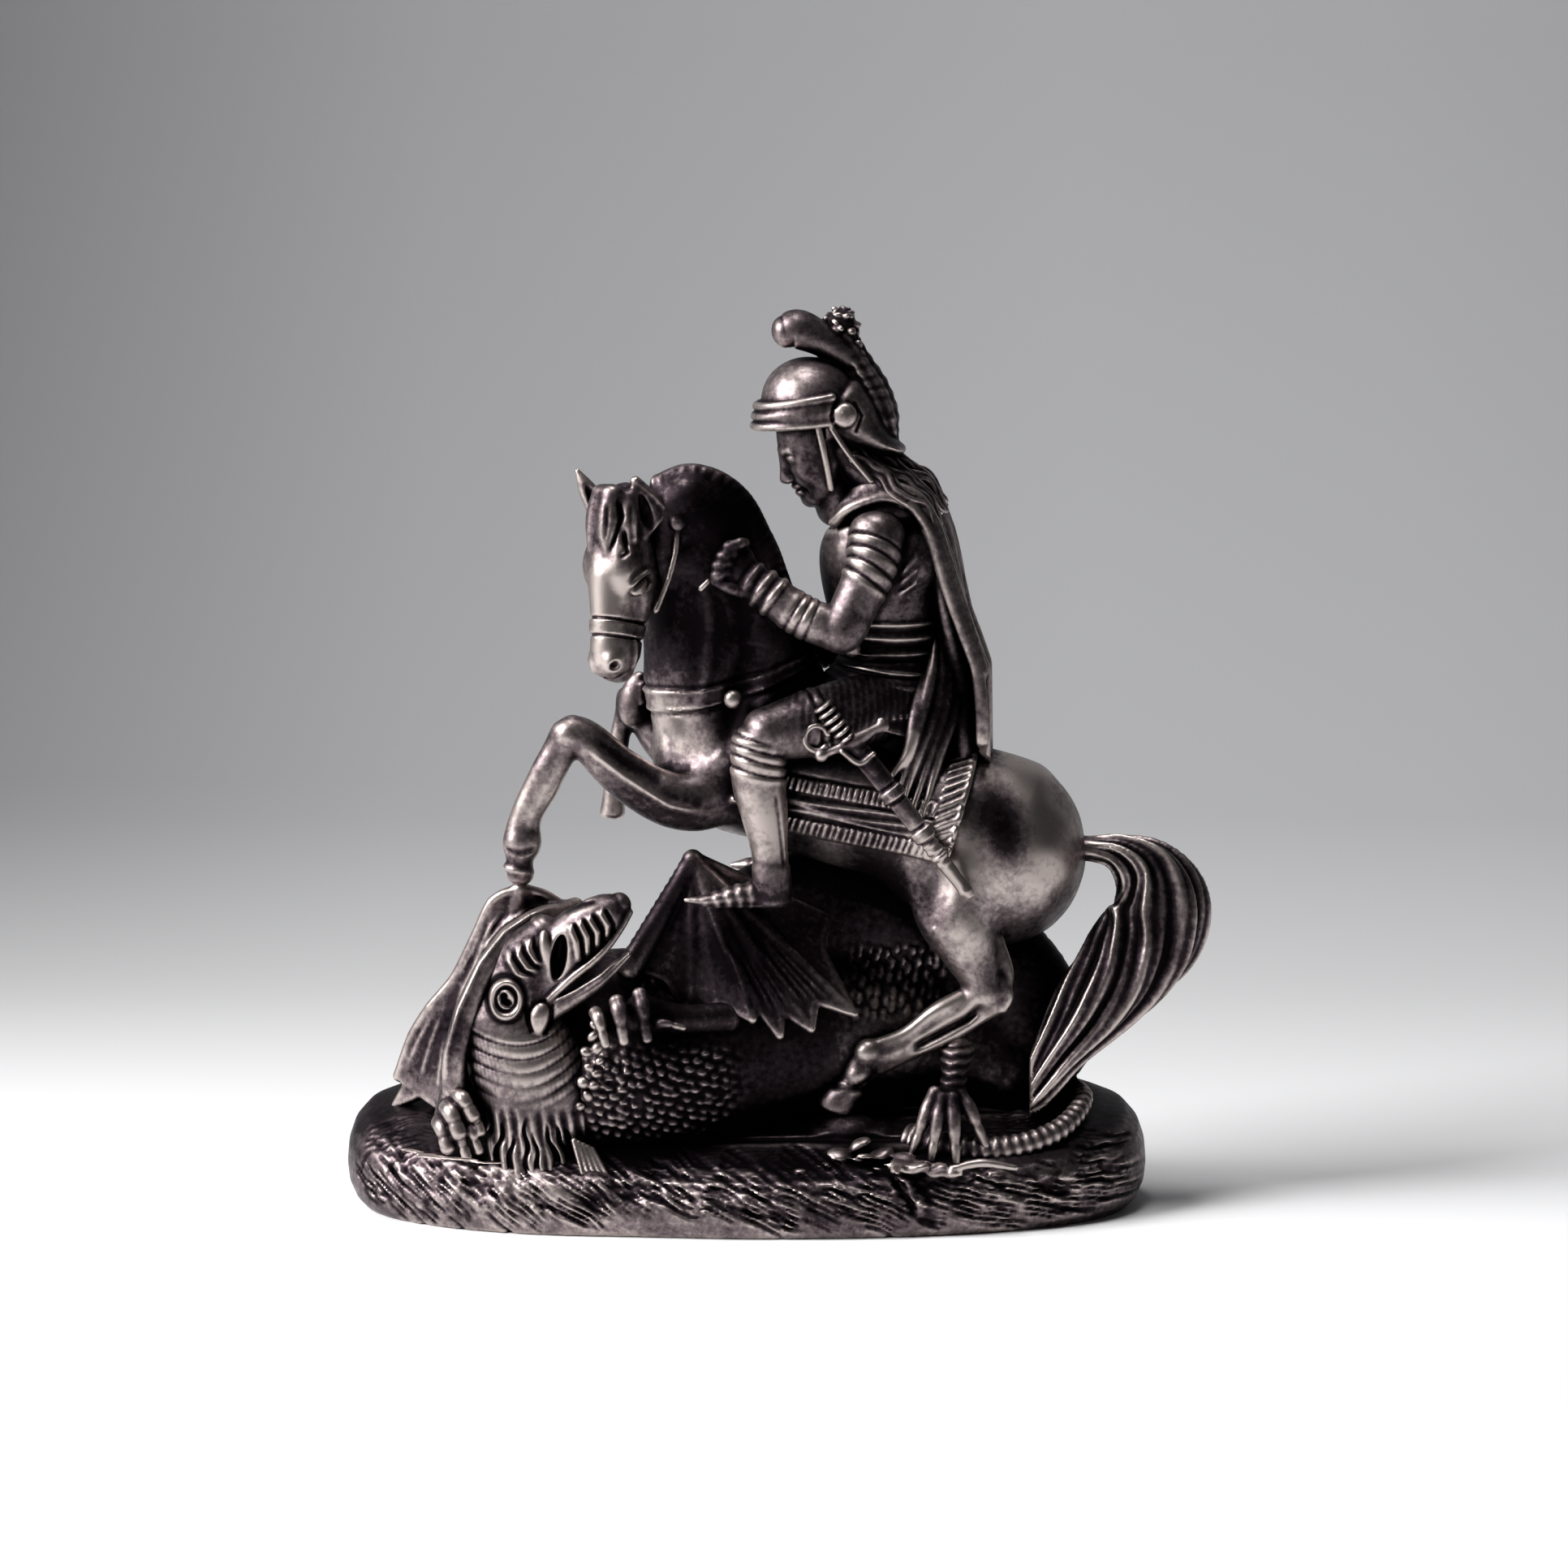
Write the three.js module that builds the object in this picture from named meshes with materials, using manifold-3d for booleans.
// A cast metal statuette: an armoured rider on a rearing horse over a fallen dragon, all one
// casting with its oval ground. Millimetres, +Z up, +X towards the horse's tail, -Y towards the
// side that is seen. The origin is under the middle of the ground.
import * as THREE from "three";
import { mergeVertices } from "three/addons/utils/BufferGeometryUtils.js";
import Module from "manifold-3d";

const wasm = await Module();
wasm.setup();

// The ground that all stands on, and the thickness of the parts that are cast as sheets.
const GROUND_HALF_LENGTH = 90;
const GROUND_HALF_DEPTH = 43;
const GROUND_FRONT_HEIGHT = 14.5;
const GROUND_RISE = 11;
const CAPE_THICKNESS = 1.9;
const CLOTH_THICKNESS = 2;
const WING_THICKNESS = 1.5;
const WING_BONE_THICKNESS = 3.4;

// How far relief stands out of, or sinks into, the form that carries it.
const STRAND_RELIEF = 0.8;
const LOCK_RELIEF = 0.6;
const RING_RELIEF = 0.6;
const PLATE_RELIEF = 0.35;
const FOLD_RELIEF = 0.9;

const vec = (x, y, z) => new THREE.Vector3(x, y, z);
const at = (station) => vec(station[0], station[1], station[2]);

// One column of the stations at t, on a smooth curve through them.
function between(stations, column, t) {
  const place = t * (stations.length - 1);
  const i = Math.min(Math.floor(place), stations.length - 2);
  const value = (n) => stations[THREE.MathUtils.clamp(n, 0, stations.length - 1)][column];
  const rise = (n) => (value(n + 1) - value(n - 1)) / 2;
  const f = place - i;
  const [f2, f3] = [f * f, f * f * f];
  return (
    value(i) * (2 * f3 - 3 * f2 + 1) +
    value(i + 1) * (3 * f2 - 2 * f3) +
    rise(i) * (f3 - 2 * f2 + f) +
    rise(i + 1) * (f3 - f2)
  );
}

const geometryOf = (positions, faces) =>
  new THREE.BufferGeometry()
    .setAttribute("position", new THREE.Float32BufferAttribute(positions, 3))
    .setIndex(faces);

// A closed body along stations [x, y, z, half-height, half-width], with rounded ends. The
// half-width lies along `side`, and relief(t, angle) is added to the section's radius.
function limb(stations, { sides, steps = 1, side = [0, 1, 0], relief = () => 0, cap = 0.8 }) {
  const spine = new THREE.CatmullRomCurve3(stations.map(at), false, "catmullrom", 0.5);
  const count = (stations.length - 1) * steps;
  const rings = [];
  const addRing = (t, shrink, push) => {
    const tangent = spine.getTangent(t).normalize();
    const across = vec(...side);
    across.addScaledVector(tangent, -across.dot(tangent)).normalize();
    const up = new THREE.Vector3().crossVectors(across, tangent);
    rings.push({ t, shrink, across, up, centre: spine.getPoint(t).addScaledVector(tangent, push) });
  };
  const radius = (t) => (between(stations, 3, t) + between(stations, 4, t)) / 2;
  addRing(0, 0.5, -cap * radius(0));
  for (let i = 0; i <= count; i++) addRing(i / count, 1, 0);
  addRing(1, 0.5, cap * radius(1));

  const positions = [];
  for (const { t, shrink, across, up, centre } of rings)
    for (let k = 0; k < sides; k++) {
      const angle = (k / sides) * 2 * Math.PI;
      const high = (between(stations, 3, t) + relief(t, angle)) * shrink;
      const wide = (between(stations, 4, t) + relief(t, angle)) * shrink;
      const p = centre
        .clone()
        .addScaledVector(up, high * Math.cos(angle))
        .addScaledVector(across, wide * Math.sin(angle));
      positions.push(p.x, p.y, p.z);
    }
  const faces = [];
  for (let r = 0; r < rings.length - 1; r++)
    for (let k = 0; k < sides; k++) {
      const [a, b] = [r * sides + k, r * sides + ((k + 1) % sides)];
      faces.push(a, b, a + sides, b, b + sides, a + sides);
    }
  const last = (rings.length - 1) * sides;
  for (let k = 1; k < sides - 1; k++) faces.push(0, k + 1, k, last, last + k, last + k + 1);
  return geometryOf(positions, faces);
}

// An ellipsoid, leaned about the Y axis by a number of degrees.
function lump([x, y, z], [rx, ry, rz], lean, sides) {
  return new THREE.SphereGeometry(1, sides, Math.ceil(sides * 0.7))
    .rotateX(Math.PI / 2)
    .scale(rx, ry, rz)
    .rotateY(THREE.MathUtils.degToRad(lean))
    .translate(x, y, z);
}

// A cast sheet: half its thickness lies on each side of surface(u, v).
function sheet(surface, { columns, rows, thickness }) {
  const small = 1e-3;
  const positions = [];
  for (const face of [0.5, -0.5])
    for (let j = 0; j <= rows; j++)
      for (let i = 0; i <= columns; i++) {
        const [u, v] = [i / columns, j / rows];
        const along = surface(Math.min(u + small, 1), v).sub(surface(Math.max(u - small, 0), v));
        const down = surface(u, Math.min(v + small, 1)).sub(surface(u, Math.max(v - small, 0)));
        const normal = along.cross(down).normalize();
        const p = surface(u, v).addScaledVector(normal, face * thickness(u, v));
        positions.push(p.x, p.y, p.z);
      }
  const across = columns + 1;
  const layer = across * (rows + 1);
  const faces = [];
  const quad = (a, b, c, d) => faces.push(a, b, c, c, b, d);
  for (let j = 0; j < rows; j++)
    for (let i = 0; i < columns; i++) {
      const a = j * across + i;
      quad(a, a + 1, a + across, a + across + 1);
      quad(layer + a + 1, layer + a, layer + a + across + 1, layer + a + across);
    }
  for (let i = 0; i < columns; i++) {
    const low = rows * across + i;
    quad(layer + i, layer + i + 1, i, i + 1);
    quad(low, low + 1, layer + low, layer + low + 1);
  }
  for (let j = 0; j < rows; j++) {
    const left = j * across;
    const right = left + columns;
    quad(left, left + across, layer + left, layer + left + across);
    quad(layer + right, layer + right + across, right, right + across);
  }
  return geometryOf(positions, faces);
}

// The ground is an oval pebble, lower at its front, where its rim has a slight waist.
function ground() {
  const around = 32;
  const roundness = 2.35;
  const levels = [
    [0.95, 0],
    [1, 0.42],
    [0.95, 0.88],
    [0.73, 1.04],
  ];
  const rimAt = (angle) => {
    const [c, s] = [Math.cos(angle), Math.sin(angle)];
    const reach = (Math.abs(c) ** roundness + Math.abs(s) ** roundness) ** (-1 / roundness);
    const waist = s < 0 ? 1 - 0.035 * Math.exp(-(((c + 0.28) / 0.2) ** 2)) : 1;
    return vec(GROUND_HALF_LENGTH * c * reach, GROUND_HALF_DEPTH * s * reach * waist, 0);
  };
  const heightAt = (y) =>
    GROUND_FRONT_HEIGHT + GROUND_RISE * THREE.MathUtils.smoothstep(y, -GROUND_HALF_DEPTH, 13);
  const positions = [0, 0, 0];
  for (const [share, height] of levels)
    for (let k = 0; k < around; k++) {
      const p = rimAt((k / around) * 2 * Math.PI).multiplyScalar(share);
      positions.push(p.x, p.y, height * heightAt(p.y));
    }
  positions.push(0, 0, 1.1 * heightAt(0));
  const faces = [];
  const crown = 1 + levels.length * around;
  for (let k = 0; k < around; k++) {
    const next = (k + 1) % around;
    faces.push(0, 1 + next, 1 + k);
    for (let r = 0; r < levels.length - 1; r++) {
      const [a, b] = [1 + r * around + k, 1 + r * around + next];
      faces.push(a, b, a + around, a + around, b, b + around);
    }
    faces.push(crown, crown - around + k, crown - around + next);
  }
  const rock = lump([23, -16.5, 18.5], [8, 6.5, 5.2], 0, 6);
  return [geometryOf(positions, faces), rock];
}

// The horse's body, from the chest to the croup.
const TRUNK = [
  [-17, 0, 101, 8, 7.5],
  [-12, 0, 101, 12.5, 11],
  [-4, 0, 100.5, 15.5, 13.5],
  [8, 0, 98, 16.5, 15],
  [22, 0, 93.5, 17, 16.5],
  [35, 0, 89, 17, 16.5],
  [47, 0, 84, 20.5, 17.5],
  [58, 0, 80, 21, 17.5],
  [66, 0, 79, 16.5, 14],
  [71.5, 0, 79, 10, 8.5],
];

function horseBody() {
  const trunk = limb(TRUNK, { sides: 12, cap: 0.35 });
  const neck = limb(
    [
      [3, 0, 103, 20, 13],
      [-3, -1, 118, 19, 11.5],
      [-6, -3, 132, 16.5, 10],
      [-7.5, -6.5, 145, 14, 8.8],
      [-9, -8.5, 154.5, 9.8, 7.4],
      [-15, -11.5, 160, 7.5, 6.4],
    ],
    { sides: 10 },
  );
  const mane = limb(
    [
      [-19, -12, 163, 3, 2.2],
      [-12, -11, 164.5, 4, 2.6],
      [-4, -9, 159.5, 5, 2.8],
      [2, -7, 149, 5, 3],
      [6, -5, 138, 5, 3],
      [11, -2, 126, 4.5, 3],
    ],
    { sides: 5, steps: 2, relief: (t) => LOCK_RELIEF * Math.cos(t * 10 * Math.PI) },
  );
  return [trunk, neck, mane];
}

// The head is turned half towards the viewer, so its width lies across that direction.
function horseHead() {
  const side = [-0.75, 0.62, 0.22];
  const head = limb(
    [
      [-22, -13, 161, 6, 5.2],
      [-24.5, -14.5, 156, 9, 7],
      [-26, -16, 149.5, 9.8, 7.8],
      [-27, -17.5, 142, 8.4, 6.8],
      [-27.8, -18.8, 135, 6.6, 5.7],
      [-28.3, -19.6, 129, 6, 5.4],
      [-28.8, -20.4, 124, 5.2, 5],
    ],
    { sides: 10, side },
  );
  const ears = [
    [
      [-20.5, -15, 155.5, 2.4, 1.8],
      [-22.5, -17, 160.5, 2.2, 1.5],
      [-24, -18.5, 164.6, 0.6, 0.5],
    ],
    [
      [-31.5, -12, 156.5, 2.4, 1.8],
      [-35, -11, 161.5, 2.2, 1.5],
      [-37.3, -10.5, 165.4, 0.6, 0.5],
    ],
  ];
  return [head, ...ears.map((stations) => limb(stations, { sides: 5 }))];
}

function foreLegs() {
  const nearArm = limb(
    [
      [-4, -8, 96, 9, 6.5],
      [-12, -12.5, 93, 6.4, 5.4],
      [-20, -14, 95, 5.6, 4.8],
      [-28, -15, 100.5, 5, 4.4],
      [-35, -15.5, 107, 4.2, 3.8],
      [-39, -15.5, 109, 3.7, 3.4],
    ],
    { sides: 7 },
  );
  const nearShin = limb(
    [
      [-39.5, -15.5, 108.5, 3.7, 3.4],
      [-44.5, -15, 98.5, 3.9, 3],
      [-49, -14, 89.5, 3.6, 3],
      [-49.8, -14, 83.5, 4.3, 3.6],
      [-50.3, -13.5, 80, 3.2, 3.2],
      [-50.3, -13.3, 76.4, 3, 3],
    ],
    { sides: 7, cap: 0.7 },
  );
  const farArm = limb(
    [
      [-8, 8, 97, 8, 6],
      [-18, 11, 103, 5, 4.4],
      [-26, 12, 113, 3, 3],
    ],
    { sides: 6 },
  );
  const farShin = limb(
    [
      [-26, 12, 113, 2.8, 2.8],
      [-28.3, 12, 106, 2.2, 2.2],
      [-29.8, 12, 94, 2.2, 2.2],
      [-30.3, 12, 86.5, 2.9, 2.7],
    ],
    { sides: 6, cap: 0.5 },
  );
  return [nearArm, nearShin, farArm, farShin];
}

function hindLegs() {
  const nearThigh = limb(
    [
      [48, -10, 77, 14, 8],
      [47, -12.5, 68, 9.5, 6.6],
      [49.5, -13, 60.5, 6.5, 5.4],
      [52, -13.5, 54, 4.6, 4.2],
      [53, -14, 50, 4.3, 3.8],
    ],
    { sides: 8 },
  );
  const hockTendon = limb(
    [
      [56, -12.5, 62, 1.5, 1.5],
      [58, -13.5, 53, 1.6, 1.6],
      [53.5, -14, 48, 2.6, 2.4],
    ],
    { sides: 5 },
  );
  const nearCannon = limb(
    [
      [53, -14, 50, 4, 3.6],
      [42, -15, 42, 3.1, 2.8],
      [31, -16, 36.5, 3, 2.8],
      [26.5, -16, 35, 3.4, 3.1],
      [23, -16, 30.5, 2.6, 2.6],
      [21.5, -16, 26.5, 3.5, 3.2],
    ],
    { sides: 7, cap: 0.6 },
  );
  const farThigh = limb(
    [
      [52, 10, 74, 13, 8],
      [53, 12.5, 63, 8, 6],
      [60, 12.5, 55, 5, 4.4],
      [65.5, 12, 50.5, 3.6, 3.2],
    ],
    { sides: 6 },
  );
  const farCannon = limb(
    [
      [65.5, 12, 50.5, 3.4, 3],
      [58, 12, 38, 2.9, 2.7],
      [52, 12, 28, 3.4, 3.2],
    ],
    { sides: 6 },
  );
  return [nearThigh, hockTendon, nearCannon, farThigh, farCannon];
}

// The tail arches out from the croup and falls in long strands to the ground.
function horseTail() {
  const shown = (t) => THREE.MathUtils.smoothstep(t, 0, 0.15);
  return limb(
    [
      [69, 0, 80.5, 3.6, 3.6],
      [77, 0, 80.3, 2.8, 3.6],
      [83.5, 0, 79.3, 4, 5],
      [89.5, 0, 75, 8, 6.5],
      [92.3, -1, 68.5, 10.7, 7],
      [90.7, -2, 61.5, 11.2, 7],
      [85, -4, 54, 10.4, 7],
      [77, -7, 45.5, 8.5, 6.5],
      [70, -10, 36.5, 5.5, 5],
      [64.5, -12, 27, 3.2, 3.2],
      [61.5, -13, 21, 1, 1],
    ],
    { sides: 12, relief: (t, angle) => STRAND_RELIEF * Math.cos(6 * angle) * shown(t) },
  );
}

// The saddlecloth lies over the back and flanks, and its lower edge slopes down to the rear.
function saddlecloth() {
  return sheet(
    (u, v) => {
      const t = THREE.MathUtils.lerp(0.34, 0.6, u);
      const [x, z] = [between(TRUNK, 0, t), between(TRUNK, 2, t)];
      const [high, wide] = [between(TRUNK, 3, t), between(TRUNK, 4, t)];
      const angle = (0.5 - v) * 2 * THREE.MathUtils.degToRad(112 - 6 * u);
      return vec(x + 0.3 * high * Math.cos(angle), wide * Math.sin(angle), z + high * Math.cos(angle));
    },
    { columns: 2, rows: 8, thickness: () => CLOTH_THICKNESS },
  );
}

function riderBody() {
  const torso = limb(
    [
      [34, 0, 108, 12, 13],
      [33.5, 0, 117, 12.5, 13],
      [33, 0, 126, 10.8, 11],
      [31, 0, 136, 12.8, 12.5],
      [29.5, 0, 146, 13.3, 13.5],
      [28.5, 0, 153, 11.5, 12.5],
      [27, 0, 158, 7.5, 9],
      [22, -1.5, 167, 5, 5],
    ],
    { sides: 10 },
  );
  const skirt = limb(
    [
      [32.5, 0, 124, 11.5, 12],
      [31.5, 0, 117, 14.5, 15],
      [29.5, 0, 110, 16.5, 17],
    ],
    { sides: 10, cap: 0.2, relief: (t, angle) => t * PLATE_RELIEF * Math.cos(5 * angle) },
  );
  return [torso, skirt];
}

// Plates overlap down the upper arm and along the gauntlet of the arm that is seen.
function riderArms() {
  const nearUpper = limb(
    [
      [29.5, -12.5, 153.5, 7, 6.5],
      [27.5, -16, 145, 6, 5.6],
      [21.5, -18, 132.5, 5.2, 5],
    ],
    { sides: 8, steps: 3, relief: (t) => PLATE_RELIEF * Math.cos(t * 6 * Math.PI) },
  );
  const nearFore = limb(
    [
      [20.5, -18, 131.8, 5, 4.8],
      [12, -17.5, 135.5, 4.7, 4.4],
      [2.5, -16, 142, 4.1, 3.8],
      [-4.5, -15, 146.5, 3.9, 3.4],
    ],
    { sides: 8, steps: 2, relief: (t) => PLATE_RELIEF * Math.cos(t * 6 * Math.PI) },
  );
  const farUpper = limb(
    [
      [29.5, 12.5, 151, 7, 6.5],
      [28, 16, 140, 5.8, 5.4],
      [25, 17, 124, 5, 4.8],
    ],
    { sides: 5 },
  );
  const farFore = limb(
    [
      [25, 17, 123, 5, 4.8],
      [12, 16, 125, 4.6, 4.4],
      [-1, 13, 130, 4.2, 3.6],
    ],
    { sides: 5 },
  );
  return [nearUpper, nearFore, farUpper, farFore];
}

function riderLegs() {
  const nearThigh = limb(
    [
      [32, -8, 114, 8.5, 8],
      [16.5, -15.5, 111.5, 7.8, 7],
      [4, -19, 109, 6, 5.8],
    ],
    { sides: 7 },
  );
  const nearShin = limb(
    [
      [2.8, -19.3, 107, 6, 5.5],
      [2.8, -19.5, 99, 6, 5.3],
      [4, -19.5, 92, 5.3, 4.9],
      [5.2, -19.5, 83, 4.1, 3.9],
      [5.8, -19.5, 75.5, 4, 3.8],
    ],
    { sides: 7, cap: 0.5 },
  );
  const nearFoot = limb(
    [
      [7, -19.4, 73, 2.6, 3.2],
      [-2, -20.6, 73.2, 2.3, 3.1],
      [-8, -21.6, 72.8, 1.6, 2.2],
      [-12, -22.2, 73, 0.7, 0.8],
    ],
    { sides: 6 },
  );
  const farThigh = limb(
    [
      [32, 8, 114, 8.5, 8],
      [20, 15.5, 109, 7.5, 7],
      [10, 18.5, 104, 6, 5.6],
    ],
    { sides: 5 },
  );
  const farShin = limb(
    [
      [10, 18.8, 103, 5.8, 5.4],
      [11, 19, 90, 5, 4.6],
      [12, 19, 77, 4, 3.8],
    ],
    { sides: 5 },
  );
  const farFoot = limb(
    [
      [13, 19, 73.5, 2.6, 3.2],
      [5, 20.2, 73.5, 2.2, 3],
      [-3, 21, 73.5, 0.8, 1],
    ],
    { sides: 5 },
  );
  return [nearThigh, nearShin, nearFoot, farThigh, farShin, farFoot];
}

// The helmeted head is bowed. Its face is a plain calm one, with a straight nose.
function riderHead() {
  const skull = lump([14.5, -4, 171.5], [8, 7.5, 12.3], -25, 9);
  const nose = limb(
    [
      [7.5, -7, 172, 1, 1],
      [6.4, -7.6, 167, 1.5, 1.3],
    ],
    { sides: 4 },
  );
  const dome = lump([14.5, -4, 181.5], [11.3, 10.8, 10.8], 20, 10);
  const brim = limb(
    [
      [4.5, -5, 175, 2.4, 9],
      [10, -5, 176, 2.6, 10.5],
      [18, -4.5, 177.5, 4, 10.5],
    ],
    { sides: 7, cap: 0.3 },
  );
  const neckGuard = limb(
    [
      [22, -4, 180, 8, 9],
      [27, -4, 174.5, 5.5, 9],
      [32, -5, 171, 2.2, 7],
    ],
    { sides: 7, cap: 0.5 },
  );
  const frontPlume = limb(
    [
      [8.5, -4, 196.5, 4.2, 4.5],
      [14, -4, 197, 4.6, 4.6],
      [21, -3, 193, 3.2, 3.4],
    ],
    { sides: 7 },
  );
  const plumeTuft = lump([21, -2, 198.5], [4.4, 4.2, 4.6], 0, 7);
  const backPlume = limb(
    [
      [22.5, -2, 194, 3.2, 4],
      [25, -2, 188, 4.2, 5],
      [28, -2, 181, 5.2, 5],
      [31, -3, 174, 3, 4],
    ],
    { sides: 6 },
  );
  const hair = limb(
    [
      [22, -3, 172, 6, 8],
      [29, -2, 166.5, 6.5, 9.5],
      [36, -1, 160.5, 5, 9],
      [40.5, -1, 156, 2.5, 6],
    ],
    { sides: 8, relief: (t, angle) => LOCK_RELIEF * Math.cos(4 * angle) },
  );
  return [skull, nose, dome, brim, neckGuard, frontPlume, plumeTuft, backPlume, hair];
}

// The cape hangs in folds from the shoulders and comes to rest on the horse's croup. Its
// stations are the middle of its curve, with how far it stands behind and to each side.
function cape() {
  const middle = [
    [27, 0, 163, 10, 12],
    [31, 0, 157.5, 11.5, 13.5],
    [34.5, 0, 146, 11.5, 13.5],
    [38, 0, 134, 11.5, 12.5],
    [41.5, 0, 122, 11, 12],
    [42, 0, 112, 11, 12.5],
    [42, 0, 104, 11, 13.5],
  ];
  const folds = 5;
  return sheet(
    (u, v) => {
      const angle = (u - 0.5) * Math.PI * (1.15 - 0.2 * v);
      const fold = FOLD_RELIEF * v * Math.cos(u * folds * 2 * Math.PI);
      const behind = between(middle, 3, v) + fold;
      const beside = between(middle, 4, v) + fold;
      const x = between(middle, 0, v) + behind * Math.cos(angle);
      return vec(x, beside * Math.sin(angle), between(middle, 2, v));
    },
    { columns: 2 * folds, rows: 4, thickness: () => CAPE_THICKNESS },
  );
}

// The sheathed sword hangs along the near flank.
function sword() {
  const y = -22.5;
  const grip = limb(
    [
      [16.8, y, 116, 1.9, 1.9],
      [22.5, y, 108.5, 1.7, 1.7],
    ],
    { sides: 5, steps: 6, relief: (t) => PLATE_RELIEF * Math.cos(t * 6 * Math.PI) },
  );
  const guard = limb(
    [
      [16.5, y, 105.5, 1.2, 1.2],
      [24, y, 108.2, 1.5, 1.5],
      [31.5, y, 112, 1.3, 1.3],
    ],
    { sides: 5 },
  );
  const scabbard = limb(
    [
      [24, y, 107.5, 2.9, 1.7],
      [30, y, 99.5, 2.9, 1.6],
      [40, y, 86, 2.5, 1.5],
      [49, y + 1, 73.6, 1.5, 1.2],
    ],
    { sides: 7 },
  );
  return [grip, guard, scabbard];
}

function dragonBody() {
  const body = limb(
    [
      [-41, -19, 27, 11, 9],
      [-33, -19, 29, 14, 11.5],
      [-20, -16, 31.5, 16.5, 14.5],
      [-4, -9, 35, 18, 16],
      [14, -2, 37, 18, 16.5],
      [32, 3, 37, 16.5, 15.5],
      [46, 5, 33, 13, 13],
      [58, 3, 27, 9, 9],
    ],
    { sides: 12 },
  );
  const back = limb(
    [
      [-5, 3, 54, 14, 9],
      [7, 5, 60, 17, 10],
      [24, 7, 60, 20, 11],
      [41, 8, 55, 21, 11],
      [56, 8, 45, 18, 10],
      [67, 5, 33, 14, 8],
    ],
    { sides: 8 },
  );
  const tail = limb(
    [
      [38, -21, 17, 5, 5],
      [48, -25.5, 16.5, 3.6, 3.6],
      [60, -25.5, 17.5, 2.8, 2.8],
      [70, -20, 20.5, 2.4, 2.4],
      [75.5, -9, 25, 2, 2],
      [73, 4, 26.5, 1.4, 1.4],
    ],
    { sides: 7 },
  );
  const shoulder = lump([-27, -10, 44], [17.5, 10, 15], 10, 8);
  return [body, back, tail, shoulder];
}

// The dragon's ringed neck stands at the left, and its mouth is open upwards.
function dragonHead() {
  const neck = limb(
    [
      [-43, -21, 24, 13, 10.5],
      [-46.5, -23, 31, 13.2, 10],
      [-50.5, -24, 39, 12, 9.2],
      [-54.5, -24, 46.5, 9.5, 8],
    ],
    { sides: 9, steps: 4, relief: (t) => RING_RELIEF * Math.cos(t * 12 * Math.PI) },
  );
  const head = limb(
    [
      [-55.5, -24, 46, 8, 7.2],
      [-53, -24, 52, 8.8, 7.4],
      [-48.5, -24, 60.5, 6.8, 6.2],
      [-44.5, -24, 67, 3.4, 3.6],
    ],
    { sides: 10 },
  );
  const lowerJaw = limb(
    [
      [-46, -25, 49, 3.2, 4.5],
      [-38.5, -25.5, 58.5, 5.4, 5.2],
      [-31, -25.5, 67.5, 5.2, 4.8],
      [-26.5, -25.5, 73, 2.4, 2.6],
    ],
    { sides: 9 },
  );
  const jawCorner = lump([-45.5, -30, 46.5], [3, 2.4, 5], 20, 7);
  const eye = lump([-52.5, -30.6, 51.5], [3.8, 2, 4.2], 20, 8);
  return [neck, head, lowerJaw, jawCorner, eye];
}

function dragonPaws() {
  const wrists = [
    [
      [-64.5, -21, 32, 3.2, 3.2],
      [-63.5, -24.5, 26, 5, 4.5],
    ],
    [
      [-4, -24, 47, 4.6, 4],
      [-14, -28, 48, 4, 4],
      [-24, -31, 49.5, 5, 3.6],
    ],
    [
      [46, -14, 36, 6, 5],
      [45, -21, 31, 4.6, 4.2],
      [44.5, -25, 26, 4.6, 3.6],
    ],
  ];
  // Each toe goes from its root to its tip, and thins from the first radius to the second.
  const toes = [
    { root: [-61.5, -27.5, 28], tip: [-60.5, -31, 24.5], thick: 2.2, thin: 1.7 },
    { root: [-64.5, -28, 26], tip: [-64, -32, 22.5], thick: 2.3, thin: 1.7 },
    { root: [-67, -27, 23.5], tip: [-67, -31, 20], thick: 2.1, thin: 1.6 },
    { root: [-28, -31.5, 52], tip: [-31.5, -33.5, 46], thick: 1.9, thin: 1 },
    { root: [-25.5, -32.5, 53.5], tip: [-25.5, -34.8, 46], thick: 2, thin: 1 },
    { root: [-20.5, -32, 53.5], tip: [-20, -34, 46.5], thick: 2, thin: 1 },
    { root: [42, -26, 30], tip: [37, -28.5, 17], thick: 2, thin: 0.8 },
    { root: [43.5, -27, 29], tip: [41, -30.5, 15.5], thick: 2, thin: 0.8 },
    { root: [45.5, -27, 29], tip: [46.5, -31, 15], thick: 2, thin: 0.8 },
    { root: [47.5, -25, 29], tip: [52.5, -28, 19.5], thick: 2, thin: 0.9 },
  ];
  return [
    ...wrists.map((stations) => limb(stations, { sides: 5 })),
    ...toes.map(({ root, tip, thick, thin }) => {
      const bend = at(root).lerp(at(tip), 0.45).add(vec(0, -1.2, 1.2));
      const stations = [
        [...root, thick, thick],
        [bend.x, bend.y, bend.z, 0.9 * thick, 0.9 * thick],
        [...tip, thin, thin],
      ];
      return limb(stations, { sides: 4 });
    }),
  ];
}

// A wing is a membrane from its wrist to the ends of its fingers. It is thick along each
// finger, and between the fingers its edge is cut back in a scallop.
function wing(wrist, fingers, arm) {
  const last = fingers.length - 1;
  const gap = (u) => Math.abs(Math.sin(u * last * Math.PI));
  const surface = (u, v) => {
    const i = Math.min(Math.floor(u * last), last - 1);
    const edge = at(fingers[i]).lerp(at(fingers[i + 1]), u * last - i);
    return at(wrist).lerp(edge, 0.06 + 0.94 * v * (1 - 0.12 * gap(u)));
  };
  const thickness = (u) => THREE.MathUtils.lerp(WING_BONE_THICKNESS, WING_THICKNESS, gap(u));
  return [sheet(surface, { columns: 2 * last, rows: 1, thickness }), limb(arm, { sides: 5 })];
}

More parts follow.
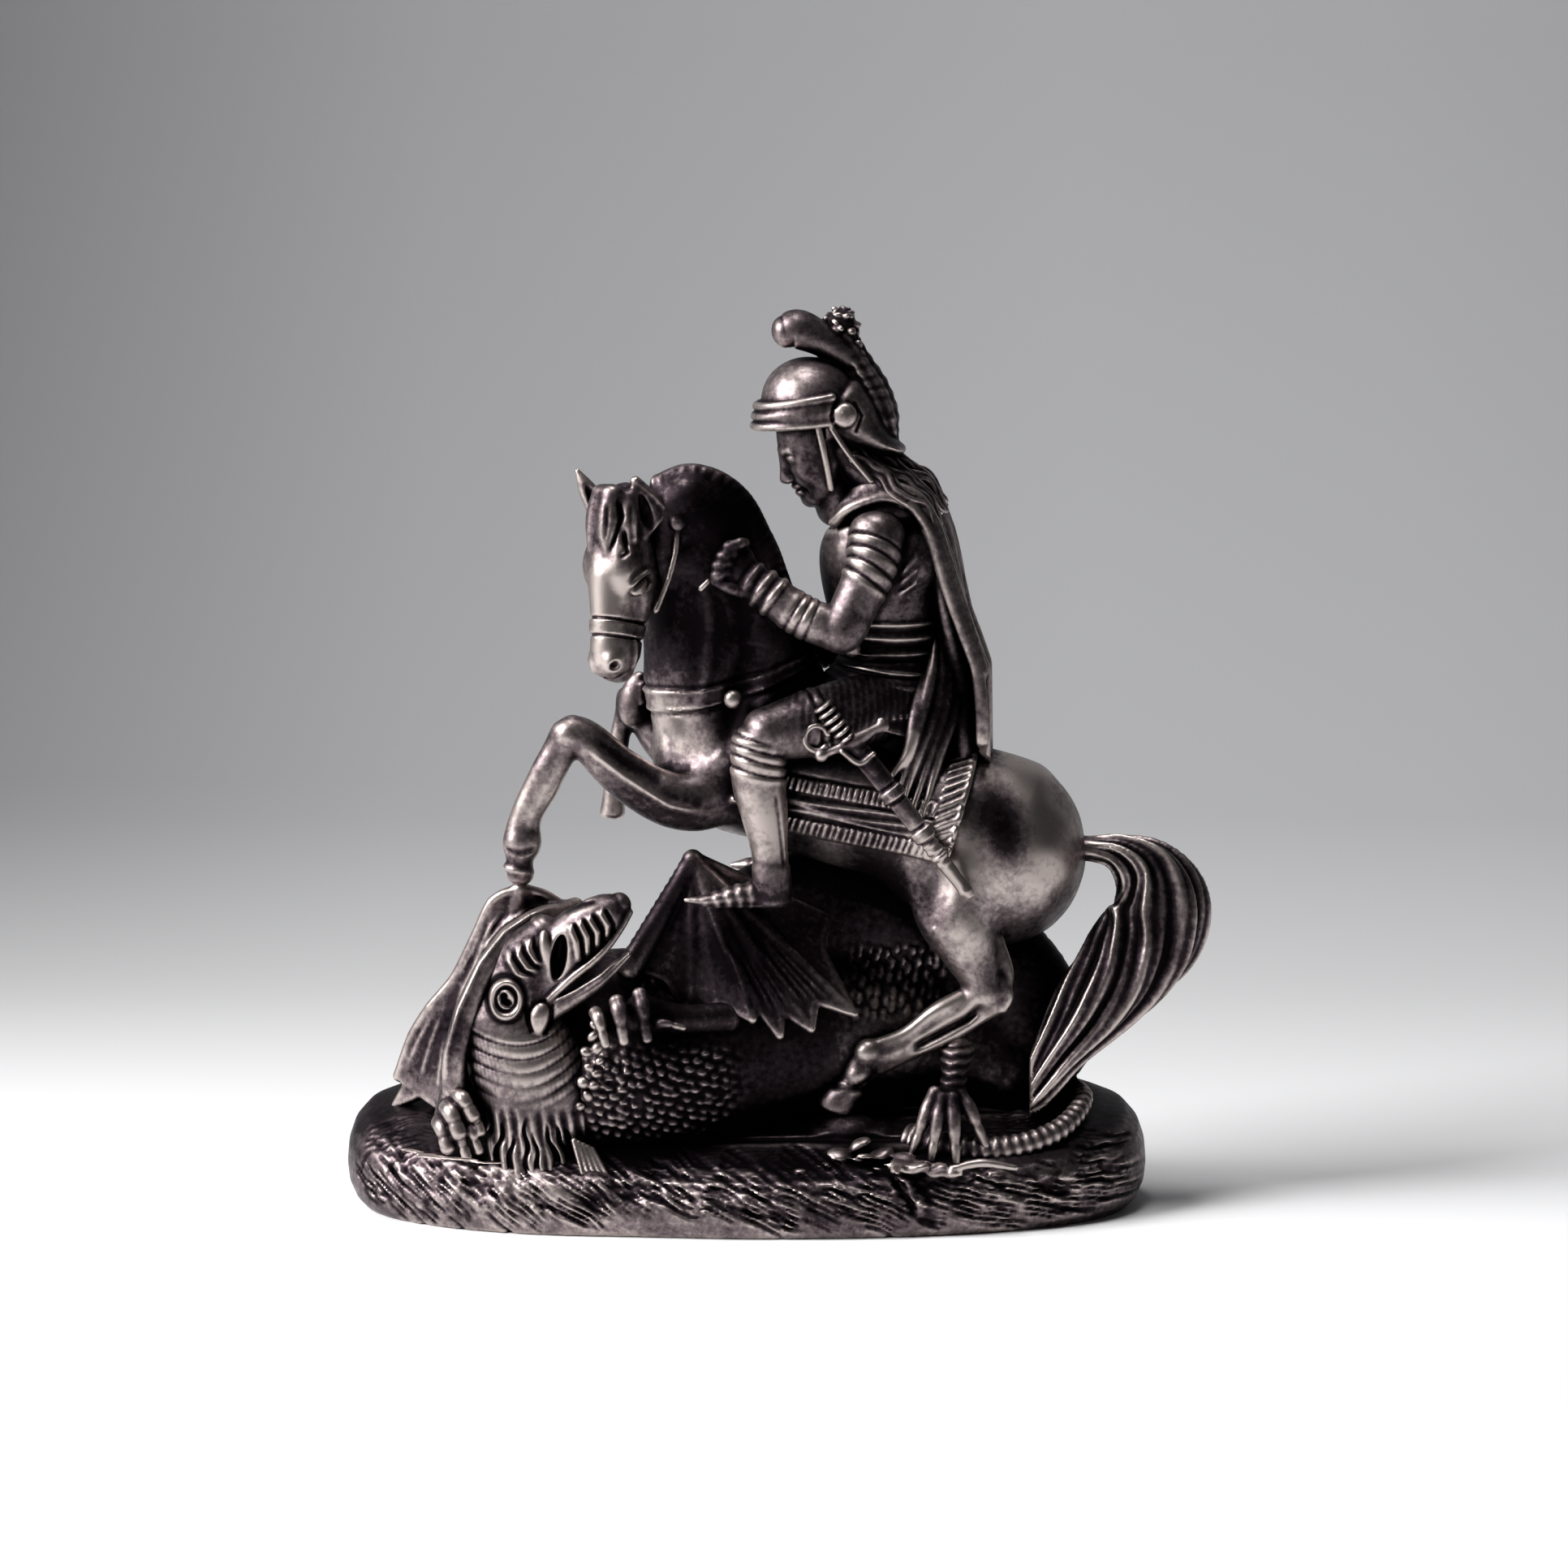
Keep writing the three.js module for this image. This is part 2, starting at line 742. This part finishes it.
function wings() {
  const near = wing(
    [-12, -13, 80.5],
    [
      [-25, -15, 56],
      [-12, -20, 44],
      [1.5, -24.5, 46],
      [7.5, -25, 42.5],
      [14.5, -25, 44],
      [24, -22.5, 47],
      [18, -6, 66],
    ],
    [
      [-26, -17, 56, 3, 3],
      [-18.5, -15, 69, 2.4, 2.4],
      [-12, -13, 80, 2, 2],
    ],
  );
  const far = wing(
    [-50.3, -13, 75],
    [
      [-79, -3, 22],
      [-66, -12, 20],
      [-50, -12, 32],
      [-37, -8, 62],
    ],
    [
      [-38, -10, 68, 3.2, 3.2],
      [-51, -11.5, 64.5, 2.9, 2.9],
      [-60, -13, 53, 3.1, 3.1],
      [-63.5, -17, 41, 3, 3],
      [-64.5, -21, 31, 3, 3],
    ],
  );
  return [...near, ...far];
}

function solidOf(geometry) {
  const bare = new THREE.BufferGeometry()
    .setAttribute("position", geometry.getAttribute("position"))
    .setIndex(geometry.index);
  const merged = mergeVertices(bare, 1e-3);
  const vertProperties = merged.attributes.position.array;
  const triVerts = new Uint32Array(merged.index.array);
  return new wasm.Manifold(new wasm.Mesh({ numProp: 3, vertProperties, triVerts }));
}

// All the forms joined into one casting. What the joining closes off inside is metal too, so
// only the outer skin of the joined body is kept.
function castTogether(geometries) {
  const joined = wasm.Manifold.union(geometries.map(solidOf));
  const skins = joined.decompose().filter((skin) => skin.volume() > 0);
  return skins.reduce((most, skin) => (skin.volume() > most.volume() ? skin : most));
}

const casting = castTogether([
  ...ground(),
  ...horseBody(),
  ...horseHead(),
  ...foreLegs(),
  ...hindLegs(),
  horseTail(),
  saddlecloth(),
  ...riderBody(),
  ...riderArms(),
  ...riderLegs(),
  ...riderHead(),
  cape(),
  ...sword(),
  ...dragonBody(),
  ...dragonHead(),
  ...dragonPaws(),
  ...wings(),
]).getMesh();

const blackenedMetal = new THREE.MeshStandardMaterial({
  color: 0x4a4448,
  roughness: 0.36,
  metalness: 1,
});
const geometry = geometryOf(Array.from(casting.vertProperties), Array.from(casting.triVerts));
const statuette = new THREE.Mesh(geometry, blackenedMetal);
statuette.name = "statuette";

const group = new THREE.Group();
group.add(statuette);
export default group;
